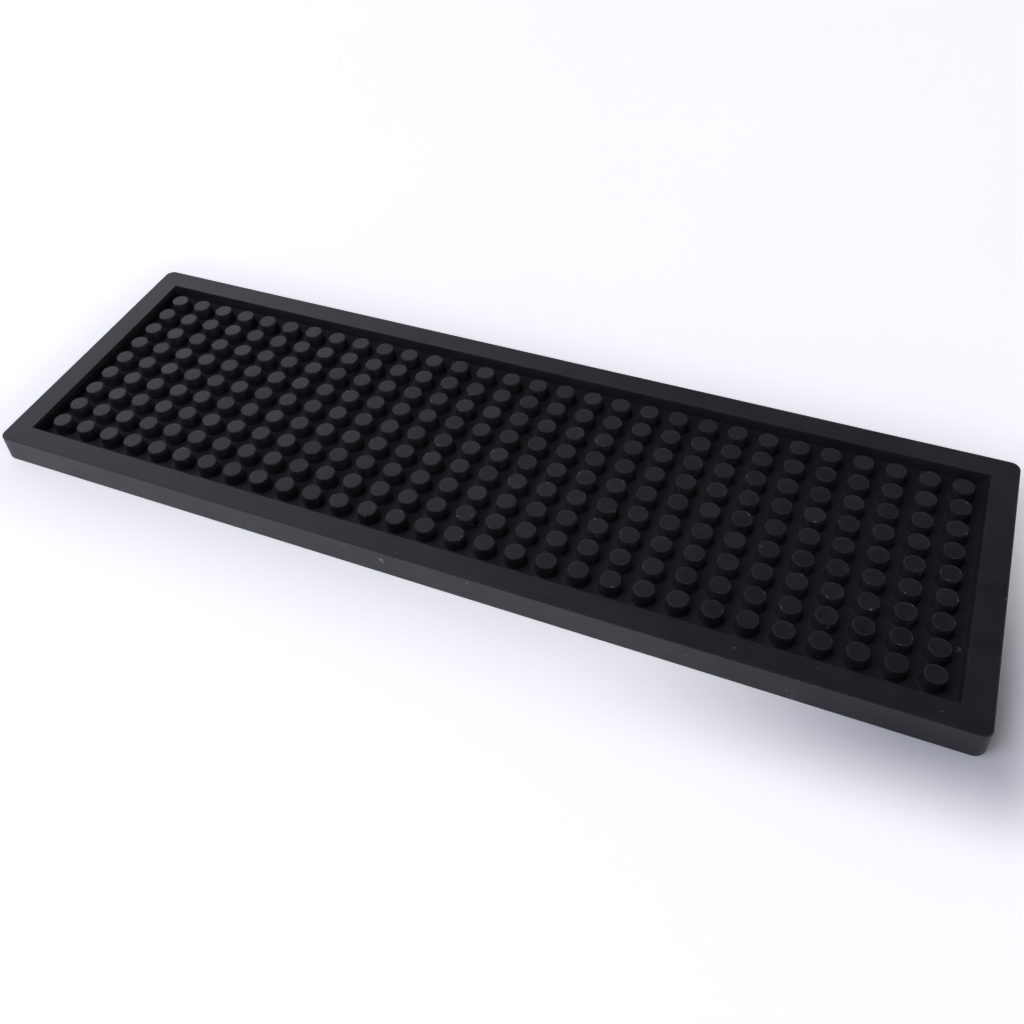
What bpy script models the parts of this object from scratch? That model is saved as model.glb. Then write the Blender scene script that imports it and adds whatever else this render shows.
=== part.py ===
"""Rubber bar mat: one flexible moulding with a flat rim around a sunken basin.

The basin holds a rectangular grid of round, flat-topped studs that stand almost as high as the rim.
Glasses rest on the studs, and spilled liquid collects between them.

Frame: X along the mat's length, Y across it, Z up. The origin is on the underside, at its middle.
"""

import bmesh
import bpy
from mathutils import Matrix, Vector

# Overall block, in metres
MAT_LENGTH = 0.3220
MAT_WIDTH = 0.1020
MAT_THICKNESS = 0.0090
SIDE_DRAFT = 0.0007
CORNER_RADIUS = 0.0037
CORNER_SEGMENTS = 6
RIM_EDGE_RADIUS = 0.0005
RIM_EDGE_SEGMENTS = 2

# Stud grid
STUD_COLUMNS = 30
STUD_ROWS = 9
STUD_PITCH_X = 0.0100
STUD_PITCH_Y = 0.00883
STUD_TOP_RADIUS = 0.00305
STUD_FOOT_RADIUS = 0.00370
STUD_SIDES = 10

# Basin
BASIN_DEPTH = 0.0047
BASIN_MARGIN = 0.00715          # from the outermost stud centres to the basin wall, at the rim
BASIN_WALL_DRAFT = 0.0003
STUD_BELOW_RIM = 0.0005

# How far a joined or cutting shape runs past the surface it meets
OVERRUN = 0.0010

# Values that follow
FLOOR_HEIGHT = MAT_THICKNESS - BASIN_DEPTH
STUD_HEIGHT = BASIN_DEPTH - STUD_BELOW_RIM
GRID_LENGTH = (STUD_COLUMNS - 1) * STUD_PITCH_X
GRID_WIDTH = (STUD_ROWS - 1) * STUD_PITCH_Y
BASIN_LENGTH = GRID_LENGTH + 2 * BASIN_MARGIN
BASIN_WIDTH = GRID_WIDTH + 2 * BASIN_MARGIN

RUBBER_COLOR = (0.012, 0.012, 0.015, 1.0)
RUBBER_ROUGHNESS = 0.50


def clear_scene():
    """Remove every object, so that the script gives the same result wherever it runs."""
    for old_object in list(bpy.data.objects):
        bpy.data.objects.remove(old_object, do_unlink=True)


def new_collection(name):
    collection = bpy.data.collections.new(name)
    bpy.context.scene.collection.children.link(collection)
    return collection


def new_object(name, mesh_builder, collection):
    """Make an object from a bmesh and put it in a collection."""
    mesh = bpy.data.meshes.new(name)
    mesh_builder.to_mesh(mesh)
    mesh_builder.free()
    made = bpy.data.objects.new(name, mesh)
    collection.objects.link(made)
    return made


def rubber_material():
    material = bpy.data.materials.new("black_rubber")
    material.use_nodes = True
    shader = material.node_tree.nodes["Principled BSDF"]
    shader.inputs["Base Color"].default_value = RUBBER_COLOR
    shader.inputs["Roughness"].default_value = RUBBER_ROUGHNESS
    shader.inputs["Metallic"].default_value = 0.0
    return material


def tapered_block(length, width, bottom, top, taper):
    """A box whose top outline is larger than its bottom one by `taper` on every side.

    `length` and `width` are the bottom's. A negative taper makes the top the smaller one.
    """
    block = bmesh.new()
    bmesh.ops.create_cube(block, size=1.0)
    for vertex in block.verts:
        is_top = vertex.co.z > 0
        grow = 2 * taper if is_top else 0.0
        vertex.co.x *= length + grow
        vertex.co.y *= width + grow
        vertex.co.z = top if is_top else bottom
    return block


def bevel_edges(block, edges, radius, segments):
    bmesh.ops.bevel(
        block,
        geom=edges,
        offset=radius,
        offset_type="OFFSET",
        segments=segments,
        profile=0.5,
        affect="EDGES",
    )


def build_slab(collection):
    """The solid block: drafted sides, rounded corners and a small radius around the rim's top."""
    slab = tapered_block(MAT_LENGTH, MAT_WIDTH, 0.0, MAT_THICKNESS, -SIDE_DRAFT)
    corners = [edge for edge in slab.edges if abs(edge.verts[0].co.z - edge.verts[1].co.z) > OVERRUN]
    bevel_edges(slab, corners, CORNER_RADIUS, CORNER_SEGMENTS)
    rim = [edge for edge in slab.edges if all(vertex.co.z > FLOOR_HEIGHT for vertex in edge.verts)]
    bevel_edges(slab, rim, RIM_EDGE_RADIUS, RIM_EDGE_SEGMENTS)
    return new_object("mat", slab, collection)


def build_basin_cutter(collection):
    """The space above the basin floor, with walls that lean out towards the rim."""
    wall_slope = BASIN_WALL_DRAFT / BASIN_DEPTH
    taper = wall_slope * (BASIN_DEPTH + OVERRUN)
    floor_length = BASIN_LENGTH - 2 * BASIN_WALL_DRAFT
    floor_width = BASIN_WIDTH - 2 * BASIN_WALL_DRAFT
    space = tapered_block(floor_length, floor_width, FLOOR_HEIGHT, MAT_THICKNESS + OVERRUN, taper)
    return new_object("basin_space", space, collection)


def stud_centres():
    """Centres of the studs, column by column, symmetric about both of the mat's midlines."""
    for column in range(STUD_COLUMNS):
        for row in range(STUD_ROWS):
            x = column * STUD_PITCH_X - GRID_LENGTH / 2
            y = row * STUD_PITCH_Y - GRID_WIDTH / 2
            yield x, y


def build_stud_grid(collection):
    """All studs as one object: drafted round posts that start inside the slab."""
    slope = (STUD_FOOT_RADIUS - STUD_TOP_RADIUS) / STUD_HEIGHT
    root_radius = STUD_FOOT_RADIUS + slope * OVERRUN
    post_height = STUD_HEIGHT + OVERRUN
    middle_height = FLOOR_HEIGHT - OVERRUN + post_height / 2
    studs = bmesh.new()
    for x, y in stud_centres():
        bmesh.ops.create_cone(
            studs,
            cap_ends=True,
            segments=STUD_SIDES,
            radius1=root_radius,
            radius2=STUD_TOP_RADIUS,
            depth=post_height,
            matrix=Matrix.Translation(Vector((x, y, middle_height))),
        )
    return new_object("stud_grid", studs, collection)


def add_boolean(target, other, operation):
    modifier = target.modifiers.new(other.name, "BOOLEAN")
    modifier.operation = operation
    modifier.solver = "EXACT"
    modifier.object = other
    other.hide_render = True
    other.display_type = "WIRE"


def build_mat():
    clear_scene()
    parts = new_collection("bar_mat")
    cutters = new_collection("bar_mat_cutters")
    mat = build_slab(parts)
    mat.data.materials.append(rubber_material())
    add_boolean(mat, build_basin_cutter(cutters), "DIFFERENCE")
    add_boolean(mat, build_stud_grid(cutters), "UNION")


build_mat()
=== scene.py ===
import math

import bpy
import numpy as np
from mathutils import Euler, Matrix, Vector, noise


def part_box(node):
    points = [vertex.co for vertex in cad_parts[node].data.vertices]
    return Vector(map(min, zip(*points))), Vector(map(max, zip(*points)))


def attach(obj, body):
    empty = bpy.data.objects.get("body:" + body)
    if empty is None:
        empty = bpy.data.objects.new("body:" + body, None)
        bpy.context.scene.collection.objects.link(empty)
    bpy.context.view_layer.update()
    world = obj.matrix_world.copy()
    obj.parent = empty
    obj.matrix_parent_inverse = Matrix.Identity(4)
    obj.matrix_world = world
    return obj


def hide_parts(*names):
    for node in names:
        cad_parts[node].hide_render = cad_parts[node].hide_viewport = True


# Looks of the rubber bar mat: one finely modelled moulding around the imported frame.
#
# Everything is in metres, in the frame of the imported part: X along the mat, Y across it, Z up, with the
# underside on Z = 0. The fine mesh repeats the part's stud grid, and takes its outer size from the frame.

MILLIMETRE = 0.001

# Stud grid, as in the part
STUD_COLUMNS = 30
STUD_ROWS = 9
STUD_PITCH_X = 10.0 * MILLIMETRE
STUD_PITCH_Y = 8.83 * MILLIMETRE
STUD_TOP_RADIUS = 3.05 * MILLIMETRE
STUD_FOOT_RADIUS = 3.70 * MILLIMETRE
STUD_BELOW_RIM = 0.5 * MILLIMETRE

# Rim and basin, as in the part
SIDE_DRAFT = 0.7 * MILLIMETRE
CORNER_RADIUS = 3.7 * MILLIMETRE
BASIN_DEPTH = 4.7 * MILLIMETRE
BASIN_MARGIN = 7.15 * MILLIMETRE
BASIN_WALL_DRAFT = 0.3 * MILLIMETRE
GRID_HALF_X = (STUD_COLUMNS - 1) * STUD_PITCH_X / 2
GRID_HALF_Y = (STUD_ROWS - 1) * STUD_PITCH_Y / 2
BASIN_HALF_X = GRID_HALF_X + BASIN_MARGIN       # at the rim
BASIN_HALF_Y = GRID_HALF_Y + BASIN_MARGIN

# Small radii of the moulding
STUD_EDGE_RADIUS = 0.10 * MILLIMETRE
STUD_FOOT_FILLET = 0.20 * MILLIMETRE
BASIN_FILLET = 0.15 * MILLIMETRE
RIM_INNER_RADIUS = 0.08 * MILLIMETRE
RIM_OUTER_RADIUS = 0.30 * MILLIMETRE
UNDERSIDE_RADIUS = 0.30 * MILLIMETRE
EDGE_WEAR_WIDTH = 0.45 * MILLIMETRE     # how far wear reaches in over a stud's or the rim's top

# Mesh density
CELL_STEPS = 7                   # along each side of a stud's floor cell
STUD_SEGMENTS = 4 * CELL_STEPS
CORNER_STEPS = 5                 # half of an outer corner's arc
FILLET_STEPS = 3                 # a small radius
RIM_EDGE_STEPS = 4               # the rim's outer radius
SHARED_DIGITS = 7                # decimals of a metre that two floor points have in common to be one point

# Moulding unevenness. The studs' spreads are standard deviations.
STUD_HEIGHT_SPREAD = 0.05 * MILLIMETRE
STUD_TILT_SPREAD = math.radians(0.9)
RIM_WAVE_HEIGHT = 0.10 * MILLIMETRE
RIM_WAVE_LENGTH = 45.0 * MILLIMETRE

# Rubber, and the dust on it
RUBBER_DARK = (0.0069, 0.0067, 0.0089, 1.0)
RUBBER_LIGHT = (0.0102, 0.0099, 0.0129, 1.0)
RUBBED_COLOR = (0.040, 0.040, 0.045, 1.0)
DUST_COLOR = (0.30, 0.30, 0.30, 1.0)
RUBBER_IOR = 1.5

# How far the rubber goes towards the rubbed colour in the basin, on the rim, on worn edges and in smudges
BASIN_FILM = 0.16
RIM_FILM = 0.14
RIM_FILM_START = 0.4 * MILLIMETRE       # depth below the top of the rim at which its film starts
RIM_FILM_FULL = 0.2 * MILLIMETRE        # and at which it is full
FLECK_FILM = 0.20
SMUDGE_FILM = 0.20

# Patterns in the rubber: features in a metre, and the stretch of noise (0 to 1) over which each comes in
CLOUD_SCALE = 45.0
CLOUD_RANGE = (0.30, 0.70)
SMUDGE_SCALE = 75.0
SMUDGE_RANGE = (0.56, 0.72)
FLECK_SCALE = 900.0
FLECK_RANGE = (0.60, 0.72)
CRUMB_SCALE = 1000.0             # dust caught on worn edges
CRUMB_RANGE = (0.69, 0.76)
CRUMB_STRENGTH = 0.8

# Roughness
ROUGHNESS_SCALE = 110.0
ROUGHNESS_NOISE_RANGE = (0.3, 0.7)
ROUGHNESS_RANGE = (0.39, 0.46)
BASIN_EXTRA_ROUGHNESS = 0.20
EDGE_EXTRA_ROUGHNESS = 0.28

# Relief too fine for the mesh
GRAIN_SCALE = 2600.0
DENT_SCALE = 420.0
DENT_SHARE = 1.5                 # of the grain's height
RELIEF_STRENGTH = 0.35
RELIEF_HEIGHT = 0.05 * MILLIMETRE

# Dust specks. A speck sits in one cell of a pattern, and its size is given in cells.
SPECK_SCALE = 500.0
SPECK_SIZE_RANGE = (0.06, 0.26)
SPECK_OUTLINE_SCALE = 3500.0
SPECK_FADE_POWER = 1.5           # above 1, more of the specks are faint
SPECK_ENDS_X = 120.0 * MILLIMETRE
EMPTY_CELLS_LEFT = 0.94          # share of the cells without a speck, at -SPECK_ENDS_X
EMPTY_CELLS_RIGHT = 0.78         # the same at +SPECK_ENDS_X

# Fibres
FIBRE_CURL_SCALE = 120.0
FIBRE_WIDTH_RANGE = (0.002, 0.004)
FIBRE_PLACE_SCALE = 210.0
FIBRE_PLACE_RANGE = (0.77, 0.81)
FIBRE_STRENGTH = 0.5

# Studio floor, which glows, with a painted shadow in its glow around the mat
FLOOR_HALF_SIZE = 12.0
FLOOR_DROP = 0.05 * MILLIMETRE   # below the mat's underside
FLOOR_DARK = (0.86, 0.86, 0.86, 1.0)
FLOOR_LIGHT = (0.90, 0.90, 0.90, 1.0)
FLOOR_TONE_SCALE = 3.0
FLOOR_TONE_RANGE = (0.3, 0.7)
FLOOR_ROUGHNESS = 0.85
FLOOR_GLOW_COLOR = (1.0, 1.0, 1.0, 1.0)
FLOOR_GLOW = 0.53
# Painted shadow: the floor's glow fades near the mat's foot, most at its front right
PAINTED_SHADOW_WIDTH = 30.0 * MILLIMETRE
LEAST_PAINTED_SHADOW = 0.20               # share of the glow lost at the mat's foot, where the shade is weakest
DEEPEST_PAINTED_SHADOW_PLACE = 0.8        # where on the right end it is deepest: 0 is the middle, 1 the front corner

# Studio walls
WALL_COLOR = (1.0, 1.0, 1.09, 1.0)
WALL_STRENGTH = 1.86
WALL_TOP_DEGREES = 10.0
DARK_FROM_DEGREES = 30.0

# Studio lamps: azimuth and elevation in degrees, strength, colour
LAMP_DISTANCE = 1.2
BROAD_LIGHT = (90.0, 40.0, 0.70, (1.05, 1.0, 1.17))
BROAD_LIGHT_DEGREES = 90.0       # the part of the sky that it fills
SOFTBOX_SIZE = 0.8
SOFTBOX_FRONT_LEFT = (135.0, 50.0, 3.1, (0.90, 1.0, 1.30))
SOFTBOX_BACK_LEFT = (45.0, 35.0, 0.4, (1.0, 1.0, 1.0))

# Camera
CAMERA_LOCATION = (0.10274, -0.19734, 0.23508)
CAMERA_ROTATION_DEGREES = (40.66, 2.85, 22.30)
CAMERA_LENS_MM = 34.06
CAMERA_SENSOR_MM = 36.0
CAMERA_NEAREST = 10.0 * MILLIMETRE

RANDOM_SEED = 7


# ---------------------------------------------------------------- mesh tools

class Surface:
    """Collects points and faces. Points on the floor grid are shared by their place."""

    def __init__(self):
        self.points = []
        self.wear = []
        self.faces = []
        self.shared = {}

    def add_point(self, x, y, z, wear=0.0):
        self.points.append((x, y, z))
        self.wear.append(wear)
        return len(self.points) - 1

    def shared_point(self, x, y, z):
        key = (round(x, SHARED_DIGITS), round(y, SHARED_DIGITS))
        if key not in self.shared:
            self.shared[key] = self.add_point(x, y, z)
        return self.shared[key]

    def bridge(self, lower, upper):
        """Quads between two closed loops of the same length that run anticlockwise seen from outside."""
        count = len(lower)
        for step in range(count):
            after = (step + 1) % count
            self.faces.append((lower[step], lower[after], upper[after], upper[step]))

    def make_object(self, name):
        mesh = bpy.data.meshes.new(name)
        mesh.from_pydata(self.points, [], self.faces)
        attribute = mesh.attributes.new("wear", "FLOAT", "POINT")
        attribute.data.foreach_set("value", np.array(self.wear, dtype=np.float32))
        mesh.shade_smooth()
        mesh.validate()
        made = bpy.data.objects.new(name, mesh)
        bpy.context.scene.collection.objects.link(made)
        return made


def arc(centre_r, centre_z, radius, start_degrees, end_degrees, steps):
    """Points (r, z) of an arc in a section through the moulding."""
    for step in range(steps + 1):
        angle = math.radians(start_degrees + (end_degrees - start_degrees) * step / steps)
        yield centre_r + radius * math.cos(angle), centre_z + radius * math.sin(angle)


# ---------------------------------------------------------------- the mat

def stud_profile(foot_z, top_z):
    """Section of a stud from the floor fillet to the flat top: (radius, height, wear).

    Wear comes in over the first two steps of the edge, and fades over EDGE_WEAR_WIDTH of the top.
    """
    slope = (STUD_FOOT_RADIUS - STUD_TOP_RADIUS) / (top_z - foot_z)
    lean = math.degrees(math.atan(slope))
    foot_centre = STUD_FOOT_RADIUS + STUD_FOOT_FILLET * (1 - slope)
    edge_centre = STUD_TOP_RADIUS - STUD_EDGE_RADIUS * (1 - slope)
    foot = arc(foot_centre, foot_z + STUD_FOOT_FILLET, STUD_FOOT_FILLET, 270, 180 + lean, FILLET_STEPS)
    edge = arc(edge_centre, top_z - STUD_EDGE_RADIUS, STUD_EDGE_RADIUS, lean, 90, FILLET_STEPS)
    profile = [(radius, height, 0.0) for radius, height in foot]
    for step, (radius, height) in enumerate(edge):
        profile.append((radius, height, min(1.0, 0.5 * step)))
    profile.append((edge_centre - EDGE_WEAR_WIDTH, top_z, 0.0))
    return profile


def add_stud(surface, cell, centre, profile, stud_random):
    """One stud on its floor cell. `cell` is (low x, high x, low y, high y) of its share of the floor.

    The cell's outline and the stud's rings have the same number of points, and start at the same corner.
    """
    low_x, high_x, low_y, high_y = cell
    centre_x, centre_y = centre
    foot_z = profile[0][1]
    top_z = profile[-1][1]
    rise = stud_random.normal(0.0, STUD_HEIGHT_SPREAD)
    tilt_x, tilt_y = stud_random.normal(0.0, STUD_TILT_SPREAD, 2)

    loop = []
    corners = [(high_x, low_y), (high_x, high_y), (low_x, high_y), (low_x, low_y)]
    for (from_x, from_y), (to_x, to_y) in zip(corners, corners[1:] + corners[:1]):
        for step in range(CELL_STEPS):
            share = step / CELL_STEPS
            x = from_x + (to_x - from_x) * share
            y = from_y + (to_y - from_y) * share
            loop.append(surface.shared_point(x, y, foot_z))

    for radius, height, wear in profile:
        share = (height - foot_z) / (top_z - foot_z)
        ring = []
        for step in range(STUD_SEGMENTS):
            angle = -math.pi / 4 + 2 * math.pi * step / STUD_SEGMENTS
            offset_x = radius * math.cos(angle)
            offset_y = radius * math.sin(angle)
            lift = rise + tilt_x * offset_x + tilt_y * offset_y
            ring.append(surface.add_point(
                centre_x + offset_x, centre_y + offset_y, height + share * lift, wear))
        surface.bridge(loop, ring)
        loop = ring
    surface.faces.append(tuple(loop))


def cell_limits(count, pitch, half_size):
    """Borders between the floor cells along one direction, from one basin wall to the other."""
    middle = count / 2
    inner = [(number - middle) * pitch for number in range(1, count)]
    return [-half_size] + inner + [half_size]


def subdivided(limits):
    """The cell borders with CELL_STEPS steps in each cell."""
    steps = [limits[0]]
    for low, high in zip(limits, limits[1:]):
        for step in range(1, CELL_STEPS + 1):
            steps.append(low + (high - low) * step / CELL_STEPS)
    return steps


def floor_outline(limits_x, limits_y, offset=0.0):
    """Places (x, y) around the floor, moved outwards by `offset`. They start at the corner of +X and -Y."""
    half_x = limits_x[-1]
    half_y = limits_y[-1]
    stretch_x = (half_x + offset) / half_x
    stretch_y = (half_y + offset) / half_y
    steps_x = subdivided(limits_x)
    steps_y = subdivided(limits_y)
    places = [(half_x + offset, y * stretch_y) for y in steps_y[:-1]]
    places += [(x * stretch_x, half_y + offset) for x in reversed(steps_x[1:])]
    places += [(-half_x - offset, y * stretch_y) for y in reversed(steps_y[1:])]
    places += [(x * stretch_x, -half_y - offset) for x in steps_x[:-1]]
    return places


def rounded_loop(surface, count_x, count_y, half_x, half_y, radius, height, wear):
    """A closed loop with round corners, with as many points on each side as the floor's outline.

    Each side gives its first and last CORNER_STEPS steps to the two corner arcs.
    """
    places = []
    sides = ((half_x, half_y - radius, count_y), (half_y, half_x - radius, count_x)) * 2
    for quarter, (outward, straight_half, count) in enumerate(sides):
        turn = quarter * math.pi / 2
        straight_steps = count - 2 * CORNER_STEPS
        for step in range(count):
            if step < CORNER_STEPS:
                angle = -math.pi / 4 * (1 - step / CORNER_STEPS)
                out = outward - radius + radius * math.cos(angle)
                along = -straight_half + radius * math.sin(angle)
            elif step > count - CORNER_STEPS:
                angle = math.pi / 4 * (step - count + CORNER_STEPS) / CORNER_STEPS
                out = outward - radius + radius * math.cos(angle)
                along = straight_half + radius * math.sin(angle)
            else:
                out = outward
                along = straight_half * (2 * (step - CORNER_STEPS) / straight_steps - 1)
            places.append((
                out * math.cos(turn) - along * math.sin(turn),
                out * math.sin(turn) + along * math.cos(turn),
            ))
    return [surface.add_point(x, y, height, wear) for x, y in places]


def joined(surface, inner, outer):
    """Adds the band of faces between two loops and returns the outer one, to go on from."""
    surface.bridge(outer, inner)
    return outer


def basin_wall_profile(floor_z, thickness):
    """Section from the floor's edge to the rim's flat: (offset from the floor's edge, height, wear)."""
    fillet = list(arc(0.0, floor_z + BASIN_FILLET, BASIN_FILLET, 270, 360, FILLET_STEPS))
    profile = [(offset, height, 0.0) for offset, height in fillet[1:]]
    edge_centre = BASIN_FILLET + BASIN_WALL_DRAFT + RIM_INNER_RADIUS
    edge = arc(edge_centre, thickness - RIM_INNER_RADIUS, RIM_INNER_RADIUS, 180, 90, FILLET_STEPS)
    for step, (offset, height) in enumerate(edge):
        profile.append((offset, height, math.sin(math.pi * step / FILLET_STEPS)))
    return profile


def outer_side_profile(thickness):
    """Section from the rim's flat to the underside: (offset from the mat's foot, height, wear)."""
    lean = math.degrees(math.atan(SIDE_DRAFT / thickness))
    edge_centre = -SIDE_DRAFT - RIM_OUTER_RADIUS
    profile = [(edge_centre - EDGE_WEAR_WIDTH, thickness, 0.0)]
    edge = arc(edge_centre, thickness - RIM_OUTER_RADIUS, RIM_OUTER_RADIUS, 90, lean, RIM_EDGE_STEPS)
    for step, (offset, height) in enumerate(edge):
        profile.append((offset, height, 1.0 - step / RIM_EDGE_STEPS))
    foot = arc(-UNDERSIDE_RADIUS, UNDERSIDE_RADIUS, UNDERSIDE_RADIUS, lean, -90, FILLET_STEPS)
    profile += [(offset, height, 0.0) for offset, height in foot]
    return profile


def build_mat(low, high):
    """The whole moulding as one closed surface inside the part's box."""
    thickness = high.z - low.z
    base_half_x = (high.x - low.x) / 2
    base_half_y = (high.y - low.y) / 2
    floor_z = thickness - BASIN_DEPTH
    stud_top_z = thickness - STUD_BELOW_RIM
    floor_half_x = BASIN_HALF_X - BASIN_WALL_DRAFT - BASIN_FILLET
    floor_half_y = BASIN_HALF_Y - BASIN_WALL_DRAFT - BASIN_FILLET

    surface = Surface()
    limits_x = cell_limits(STUD_COLUMNS, STUD_PITCH_X, floor_half_x)
    limits_y = cell_limits(STUD_ROWS, STUD_PITCH_Y, floor_half_y)
    profile = stud_profile(floor_z, stud_top_z)
    stud_random = np.random.default_rng(RANDOM_SEED)
    for column in range(STUD_COLUMNS):
        for row in range(STUD_ROWS):
            cell = (limits_x[column], limits_x[column + 1], limits_y[row], limits_y[row + 1])
            centre = (column * STUD_PITCH_X - GRID_HALF_X, row * STUD_PITCH_Y - GRID_HALF_Y)
            add_stud(surface, cell, centre, profile, stud_random)

    # From the floor's edge up the basin wall to the rim's flat
    loop = [surface.shared_point(x, y, floor_z) for x, y in floor_outline(limits_x, limits_y)]
    for offset, height, wear in basin_wall_profile(floor_z, thickness):
        places = floor_outline(limits_x, limits_y, offset)
        ring = [surface.add_point(x, y, height, wear) for x, y in places]
        loop = joined(surface, loop, ring)

    # Over the rim's outer edge and down the drafted side to the underside
    count_x = STUD_COLUMNS * CELL_STEPS
    count_y = STUD_ROWS * CELL_STEPS
    for offset, height, wear in outer_side_profile(thickness):
        ring = rounded_loop(surface, count_x, count_y, base_half_x + offset, base_half_y + offset,
                            CORNER_RADIUS + offset, height, wear)
        loop = joined(surface, loop, ring)
    surface.faces.append(tuple(reversed(loop)))

    uneven(surface, thickness, floor_half_x, floor_half_y)
    return surface.make_object("bar_mat")


def uneven(surface, thickness, floor_half_x, floor_half_y):
    """A slight waviness of the rim's height, as rubber has after moulding. The underside stays flat."""
    for number, (x, y, z) in enumerate(surface.points):
        on_rim = max(abs(x) / floor_half_x, abs(y) / floor_half_y) > 1.0
        if not on_rim:
            continue
        wave = noise.noise(Vector((x, y, 0.0)) / RIM_WAVE_LENGTH)
        share = z / thickness
        surface.points[number] = (x, y, z - share * RIM_WAVE_HEIGHT * (0.5 + 0.5 * wave))


# ---------------------------------------------------------------- materials

def add_node(tree, kind, **inputs):
    """A node with its unlinked inputs set by name; spaces in a name are written as underscores."""
    node = tree.nodes.new(kind)
    for name, value in inputs.items():
        node.inputs[name.replace("_", " ")].default_value = value
    return node


def noise_value(tree, place, scale, detail=3.0, roughness=0.55):
    """Noise between 0 and 1 with `scale` features in a metre."""
    node = add_node(tree, "ShaderNodeTexNoise", Scale=scale, Detail=detail, Roughness=roughness)
    tree.links.new(place, node.inputs["Vector"])
    return node.outputs["Fac"]


def ramped(tree, value, from_low, from_high, to_low=0.0, to_high=1.0):
    """Maps a value smoothly from one range to another, and keeps it inside the second."""
    node = add_node(tree, "ShaderNodeMapRange", From_Min=from_low, From_Max=from_high,
                    To_Min=to_low, To_Max=to_high)
    node.interpolation_type = "SMOOTHSTEP"
    tree.links.new(value, node.inputs["Value"])
    return node.outputs["Result"]


def computed(tree, operation, first, second):
    """The result of a Math node on two sockets or numbers."""
    node = tree.nodes.new("ShaderNodeMath")
    node.operation = operation
    for socket, value in zip(node.inputs, (first, second)):
        if isinstance(value, float):
            socket.default_value = value
        else:
            tree.links.new(value, socket)
    return node.outputs["Value"]


def mixed_color(tree, share, first, second):
    """A colour between two sockets or colours.

    A Mix node has sockets for each type of data, some with the same names. The numbers are those for colours.
    """
    node = tree.nodes.new("ShaderNodeMix")
    node.data_type = "RGBA"
    share_socket, first_socket, second_socket = node.inputs[0], node.inputs[6], node.inputs[7]
    tree.links.new(share, share_socket)
    for socket, value in ((first_socket, first), (second_socket, second)):
        if isinstance(value, tuple):
            socket.default_value = value
        else:
            tree.links.new(value, socket)
    return node.outputs[2]


def dust_specks(tree, place):
    """Sparse round specks of mixed size and strength, more of them towards +X."""
    cells = add_node(tree, "ShaderNodeTexVoronoi", Scale=SPECK_SCALE)
    tree.links.new(place, cells.inputs["Vector"])
    chance = tree.nodes.new("ShaderNodeSeparateColor")
    tree.links.new(cells.outputs["Color"], chance.inputs["Color"])
    along = tree.nodes.new("ShaderNodeSeparateXYZ")
    tree.links.new(place, along.inputs["Vector"])
    empty = ramped(tree, along.outputs["X"], -SPECK_ENDS_X, SPECK_ENDS_X, EMPTY_CELLS_LEFT, EMPTY_CELLS_RIGHT)
    chosen = computed(tree, "GREATER_THAN", chance.outputs["Red"], empty)
    size = ramped(tree, chance.outputs["Green"], 0.0, 1.0, *SPECK_SIZE_RANGE)
    size = computed(tree, "MULTIPLY", size, noise_value(tree, place, SPECK_OUTLINE_SCALE, detail=1.0))
    inside = computed(tree, "LESS_THAN", cells.outputs["Distance"], size)
    strength = computed(tree, "POWER", chance.outputs["Blue"], SPECK_FADE_POWER)
    return computed(tree, "MULTIPLY", computed(tree, "MULTIPLY", chosen, inside), strength)


def lint(tree, place):
    """Short hair-thin fibres: lines where one noise has its middle value, kept where another is high."""
    curls = noise_value(tree, place, FIBRE_CURL_SCALE, detail=1.0)
    from_line = computed(tree, "ABSOLUTE", computed(tree, "SUBTRACT", curls, 0.5), 0.0)
    line = ramped(tree, from_line, *FIBRE_WIDTH_RANGE, 1.0, 0.0)
    patches = noise_value(tree, place, FIBRE_PLACE_SCALE, detail=0.0)
    kept = ramped(tree, patches, *FIBRE_PLACE_RANGE, 0.0, FIBRE_STRENGTH)
    return computed(tree, "MULTIPLY", line, kept)


def depth_in_basin(tree, axes, thickness):
    """1 on the basin's floor, falling to 0 at the stud tops. 0 on the rim and on the outer sides."""
    depth = ramped(tree, axes.outputs["Z"], thickness - BASIN_DEPTH, thickness - STUD_BELOW_RIM, 1.0, 0.0)
    for axis, half_size in (("X", BASIN_HALF_X), ("Y", BASIN_HALF_Y)):
        from_middle = computed(tree, "ABSOLUTE", axes.outputs[axis], 0.0)
        depth = computed(tree, "MULTIPLY", depth, computed(tree, "LESS_THAN", from_middle, half_size))
    return depth


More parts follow.
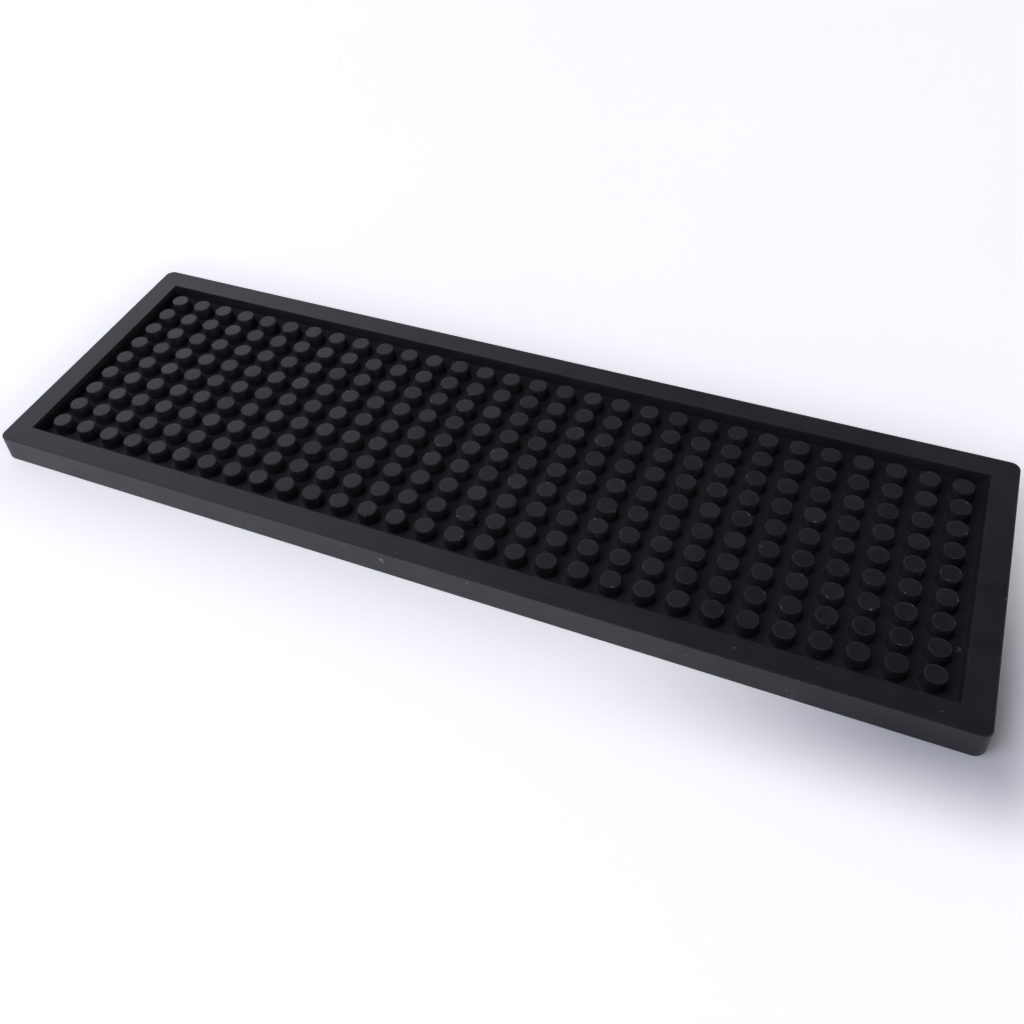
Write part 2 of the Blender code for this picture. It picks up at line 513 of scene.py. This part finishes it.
def rubber_color(tree, place, axes, sunken, wear, thickness):
    """Cloudy black, greyer in the basin, on the rim, on worn edges and in smudges, with dust over it."""
    clouds = noise_value(tree, place, CLOUD_SCALE, detail=5.0)
    color = mixed_color(tree, ramped(tree, clouds, *CLOUD_RANGE), RUBBER_DARK, RUBBER_LIGHT)
    color = mixed_color(tree, computed(tree, "MULTIPLY", sunken, BASIN_FILM), color, RUBBED_COLOR)
    raised = ramped(tree, axes.outputs["Z"], thickness - RIM_FILM_START, thickness - RIM_FILM_FULL)
    color = mixed_color(tree, computed(tree, "MULTIPLY", raised, RIM_FILM), color, RUBBED_COLOR)
    flecks = ramped(tree, noise_value(tree, place, FLECK_SCALE), *FLECK_RANGE)
    rubbed = computed(tree, "MULTIPLY", wear, flecks)
    color = mixed_color(tree, computed(tree, "MULTIPLY", rubbed, FLECK_FILM), color, RUBBED_COLOR)
    smudges = noise_value(tree, place, SMUDGE_SCALE, detail=6.0, roughness=0.7)
    smudges = ramped(tree, smudges, *SMUDGE_RANGE)
    color = mixed_color(tree, computed(tree, "MULTIPLY", smudges, SMUDGE_FILM), color, RUBBED_COLOR)

    crumbs = noise_value(tree, place, CRUMB_SCALE, detail=1.0)
    crumbs = ramped(tree, crumbs, *CRUMB_RANGE, 0.0, CRUMB_STRENGTH)
    edge_dust = computed(tree, "MULTIPLY", wear, crumbs)
    dust = computed(tree, "MAXIMUM", dust_specks(tree, place), lint(tree, place))
    dust = computed(tree, "MAXIMUM", dust, edge_dust)
    return mixed_color(tree, dust, color, DUST_COLOR)


def rubber_roughness(tree, place, sunken, wear):
    """A satin skin, more matte down in the basin and on worn edges."""
    clouds = noise_value(tree, place, ROUGHNESS_SCALE, detail=4.0)
    skin = ramped(tree, clouds, *ROUGHNESS_NOISE_RANGE, *ROUGHNESS_RANGE)
    basin = computed(tree, "MULTIPLY", sunken, BASIN_EXTRA_ROUGHNESS)
    edge = computed(tree, "MULTIPLY", computed(tree, "POWER", wear, 2.0), EDGE_EXTRA_ROUGHNESS)
    return computed(tree, "ADD", computed(tree, "ADD", skin, basin), edge)


def rubber_relief(tree, place):
    """The normal of a fine grain with shallow dents."""
    grain = noise_value(tree, place, GRAIN_SCALE, roughness=0.6)
    dents = noise_value(tree, place, DENT_SCALE, detail=2.0)
    relief = computed(tree, "ADD", grain, computed(tree, "MULTIPLY", dents, DENT_SHARE))
    bump = add_node(tree, "ShaderNodeBump", Strength=RELIEF_STRENGTH, Distance=RELIEF_HEIGHT)
    tree.links.new(relief, bump.inputs["Height"])
    return bump.outputs["Normal"]


def rubber_material(thickness):
    """Moulded black rubber: cloudy, finely grained, more matte down in the basin, a little dusty."""
    material = bpy.data.materials.new("moulded_black_rubber")
    material.use_nodes = True
    tree = material.node_tree
    shader = tree.nodes["Principled BSDF"]
    shader.inputs["Metallic"].default_value = 0.0
    shader.inputs["IOR"].default_value = RUBBER_IOR
    place = tree.nodes.new("ShaderNodeTexCoord").outputs["Object"]
    attribute = tree.nodes.new("ShaderNodeAttribute")
    attribute.attribute_name = "wear"
    wear = attribute.outputs["Fac"]
    axes = tree.nodes.new("ShaderNodeSeparateXYZ")
    tree.links.new(place, axes.inputs["Vector"])
    sunken = depth_in_basin(tree, axes, thickness)
    color = rubber_color(tree, place, axes, sunken, wear, thickness)
    tree.links.new(color, shader.inputs["Base Color"])
    tree.links.new(rubber_roughness(tree, place, sunken, wear), shader.inputs["Roughness"])
    tree.links.new(rubber_relief(tree, place), shader.inputs["Normal"])
    return material


def floor_glow_with_painted_shadow(tree, place, half_x, half_y):
    """The floor's own light, with a painted shadow: it fades in a soft shade around the mat, deepest at its
    front right.
    """
    axes = tree.nodes.new("ShaderNodeSeparateXYZ")
    tree.links.new(place, axes.inputs["Vector"])
    beyond = tree.nodes.new("ShaderNodeCombineXYZ")
    for axis, half_size in (("X", half_x), ("Y", half_y)):
        outside = computed(tree, "SUBTRACT", computed(tree, "ABSOLUTE", axes.outputs[axis], 0.0), half_size)
        tree.links.new(computed(tree, "MAXIMUM", outside, 0.0), beyond.inputs[axis])
    distance = tree.nodes.new("ShaderNodeVectorMath")
    distance.operation = "LENGTH"
    tree.links.new(beyond.outputs["Vector"], distance.inputs[0])
    near_painted_shadow = ramped(tree, distance.outputs["Value"], 0.0, PAINTED_SHADOW_WIDTH, 1.0, 0.0)

    # The painted shadow deepens with X - Y, from the mat's back right corner on
    right_front = computed(tree, "SUBTRACT", axes.outputs["X"], axes.outputs["Y"])
    deeper_from = half_x - half_y
    deepest_from = half_x + DEEPEST_PAINTED_SHADOW_PLACE * half_y
    depth = ramped(tree, right_front, deeper_from, deepest_from, LEAST_PAINTED_SHADOW, 1.0)
    glow = computed(tree, "SUBTRACT", 1.0, computed(tree, "MULTIPLY", near_painted_shadow, depth))
    return computed(tree, "MULTIPLY", glow, FLOOR_GLOW)


def floor_material(half_x, half_y):
    """A plain white studio surface with a trace of tone in it, which glows a little, with a painted shadow in
    the glow around the mat.
    """
    material = bpy.data.materials.new("pale_floor")
    material.use_nodes = True
    tree = material.node_tree
    shader = tree.nodes["Principled BSDF"]
    shader.inputs["Roughness"].default_value = FLOOR_ROUGHNESS
    shader.inputs["Emission Color"].default_value = FLOOR_GLOW_COLOR
    place = tree.nodes.new("ShaderNodeTexCoord").outputs["Object"]
    tree.links.new(floor_glow_with_painted_shadow(tree, place, half_x, half_y), shader.inputs["Emission Strength"])
    tone = ramped(tree, noise_value(tree, place, FLOOR_TONE_SCALE, detail=2.0), *FLOOR_TONE_RANGE)
    tree.links.new(mixed_color(tree, tone, FLOOR_DARK, FLOOR_LIGHT), shader.inputs["Base Color"])
    return material


# ---------------------------------------------------------------- stage

def add_floor(low, high):
    """A large pale square just below the mat. Its painted soft shadow is laid out from the mat's box."""
    mesh = bpy.data.meshes.new("studio_floor")
    signs = ((-1, -1), (1, -1), (1, 1), (-1, 1))
    corners = [(x * FLOOR_HALF_SIZE, y * FLOOR_HALF_SIZE, 0) for x, y in signs]
    mesh.from_pydata(corners, [], [(0, 1, 2, 3)])
    floor = bpy.data.objects.new("studio_floor", mesh)
    floor.location.z = -FLOOR_DROP
    mesh.materials.append(floor_material((high.x - low.x) / 2, (high.y - low.y) / 2))
    bpy.context.scene.collection.objects.link(floor)


def direction_from_mat(azimuth, elevation):
    """Unit vector towards an azimuth (0 is +Y, 90 is -X) and an elevation, both in degrees."""
    turn = math.radians(azimuth)
    rise = math.radians(elevation)
    return Vector((-math.sin(turn) * math.cos(rise), math.cos(turn) * math.cos(rise), math.sin(rise)))


def add_light(name, kind, azimuth, elevation, energy, color):
    """A lamp that shines at the mat's middle."""
    lamp = bpy.data.lights.new(name, kind)
    lamp.energy = energy
    lamp.color = color
    light = bpy.data.objects.new(name, lamp)
    direction = direction_from_mat(azimuth, elevation)
    light.location = direction * LAMP_DISTANCE
    light.rotation_euler = direction.to_track_quat("Z", "Y").to_euler()
    bpy.context.scene.collection.objects.link(light)
    return lamp


def add_lights():
    """A broad soft light from the left, and two round softboxes to the front left and back left."""
    broad = add_light("broad_left", "SUN", *BROAD_LIGHT)
    broad.angle = math.radians(BROAD_LIGHT_DEGREES)
    for name, setting in (("front_left", SOFTBOX_FRONT_LEFT), ("back_left", SOFTBOX_BACK_LEFT)):
        softbox = add_light(name, "AREA", *setting)
        softbox.shape = "DISK"
        softbox.size = SOFTBOX_SIZE


def set_world():
    """A studio with pale walls: bright around the horizon, dark overhead."""
    world = bpy.data.worlds.new("studio")
    world.use_nodes = True
    tree = world.node_tree
    direction = tree.nodes.new("ShaderNodeTexCoord").outputs["Generated"]
    upward = tree.nodes.new("ShaderNodeSeparateXYZ")
    tree.links.new(direction, upward.inputs["Vector"])
    wall_top = math.sin(math.radians(WALL_TOP_DEGREES))
    dark_from = math.sin(math.radians(DARK_FROM_DEGREES))
    background = tree.nodes["Background"]
    background.inputs["Color"].default_value = WALL_COLOR
    strength = ramped(tree, upward.outputs["Z"], wall_top, dark_from, WALL_STRENGTH, 0.0)
    tree.links.new(strength, background.inputs["Strength"])
    bpy.context.scene.world = world


def add_camera():
    """The camera stands at the front right, above the mat."""
    lens = bpy.data.cameras.new("camera")
    lens.lens = CAMERA_LENS_MM
    lens.sensor_width = CAMERA_SENSOR_MM
    lens.clip_start = CAMERA_NEAREST
    camera = bpy.data.objects.new("camera", lens)
    camera.location = CAMERA_LOCATION
    camera.rotation_euler = Euler([math.radians(angle) for angle in CAMERA_ROTATION_DEGREES])
    bpy.context.scene.collection.objects.link(camera)
    bpy.context.scene.camera = camera


# ---------------------------------------------------------------- scene

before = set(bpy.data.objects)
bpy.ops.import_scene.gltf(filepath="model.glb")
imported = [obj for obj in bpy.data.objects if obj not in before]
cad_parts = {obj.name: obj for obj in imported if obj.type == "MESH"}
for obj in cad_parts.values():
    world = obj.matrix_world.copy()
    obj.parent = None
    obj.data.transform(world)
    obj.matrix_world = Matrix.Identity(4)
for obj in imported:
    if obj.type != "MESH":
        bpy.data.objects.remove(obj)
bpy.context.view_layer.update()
add_camera()
set_world()
add_lights()
bpy.context.scene.view_settings.view_transform = "Standard"

low_corner, high_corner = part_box("mat")
frame_thickness = high_corner.z - low_corner.z
add_floor(low_corner, high_corner)
mat = build_mat(low_corner, high_corner)
mat.data.materials.append(rubber_material(frame_thickness))
smooth_flats = mat.modifiers.new("weighted_normals", "WEIGHTED_NORMAL")
smooth_flats.keep_sharp = True
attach(mat, "root")
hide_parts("mat")
